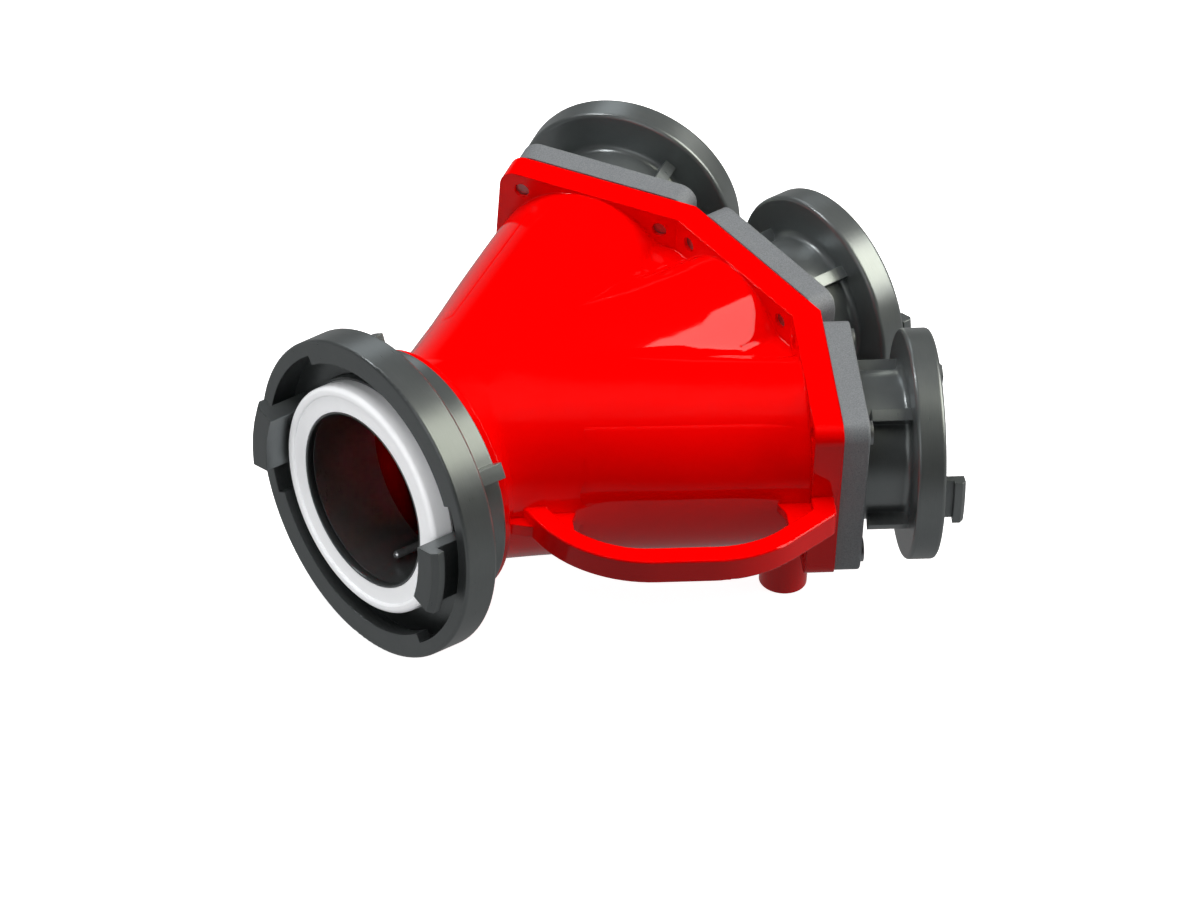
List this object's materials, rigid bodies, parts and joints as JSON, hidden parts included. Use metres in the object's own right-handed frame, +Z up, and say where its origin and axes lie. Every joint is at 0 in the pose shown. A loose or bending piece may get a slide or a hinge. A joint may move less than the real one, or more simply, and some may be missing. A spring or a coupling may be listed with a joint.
{
  "type": "collecting breeching",
  "caption": "Fire-service collecting breeching: lug-coupled hose inlets with non-return flaps run together into one swivelling outlet, with a carrying handle.",
  "frame": {"origin": "centre of the outlet coupling's front face, on the outlet's axis", "axes": "+X from the outlet towards the inlets, along the middle tube; +Z up, away from the feet; +Y towards the side without the handle"},
  "size_m": [0.3485, 0.3662, 0.182],
  "materials": {
    "red_enamel": "gloss enamel on a cast light alloy",
    "grey_alloy": "dark hard-anodised, turned",
    "plate_alloy": "grey, finely blasted",
    "flap_alloy": "as cast",
    "steel": "bright",
    "white_rubber": "smooth, white",
    "black_rubber": "smooth, black"
  },
  "bodies": {
    "body": {"housing": "red_enamel", "outlet_tail": "grey_alloy", "outlet_seal": "white_rubber", "outlet_o_ring": "black_rubber", "outlet_stop_pin": "steel", "inlet_plate_left": "plate_alloy", "plate_o_ring_left": "black_rubber", "inlet_coupling_left": "grey_alloy", "inlet_seal_left": "white_rubber", "coupling_gasket_left": "black_rubber", "hinge_pin_left": "steel", "plate_screws_left": "steel", "inlet_plate_middle": "plate_alloy", "plate_o_ring_middle": "black_rubber", "inlet_coupling_middle": "grey_alloy", "inlet_seal_middle": "white_rubber", "coupling_gasket_middle": "black_rubber", "hinge_pin_middle": "steel", "plate_screws_middle": "steel", "inlet_plate_right": "plate_alloy", "plate_o_ring_right": "black_rubber", "inlet_coupling_right": "grey_alloy", "inlet_seal_right": "white_rubber", "coupling_gasket_right": "black_rubber", "hinge_pin_right": "steel", "plate_screws_right": "steel"},
    "lug_ring": {"outlet_lug_ring": "grey_alloy"},
    "flap_left": {"flap_left": "flap_alloy", "flap_facing_left": "black_rubber"},
    "flap_middle": {"flap_middle": "flap_alloy", "flap_facing_middle": "black_rubber"},
    "flap_right": {"flap_right": "flap_alloy", "flap_facing_right": "black_rubber"}
  },
  "joints": [
    {"name": "outlet_swivel", "type": "hinge", "parent": "body", "child": "lug_ring", "pos_m": [0.03, 0, 0], "axis": [1, 0, 0], "continuous": true},
    {"name": "flap_hinge_left", "type": "hinge", "parent": "body", "child": "flap_left", "pos_m": [0.23348, 0.09919, 0.03516], "axis": [-0.515, 0.8572, 0], "range_deg": [0, 65]},
    {"name": "flap_hinge_middle", "type": "hinge", "parent": "body", "child": "flap_middle", "pos_m": [0.26099, 0, 0.03516], "axis": [0, 1, 0], "range_deg": [0, 65]},
    {"name": "flap_hinge_right", "type": "hinge", "parent": "body", "child": "flap_right", "pos_m": [0.23348, -0.09919, 0.03516], "axis": [0.515, 0.8572, 0], "range_deg": [0, 65]}
  ]
}
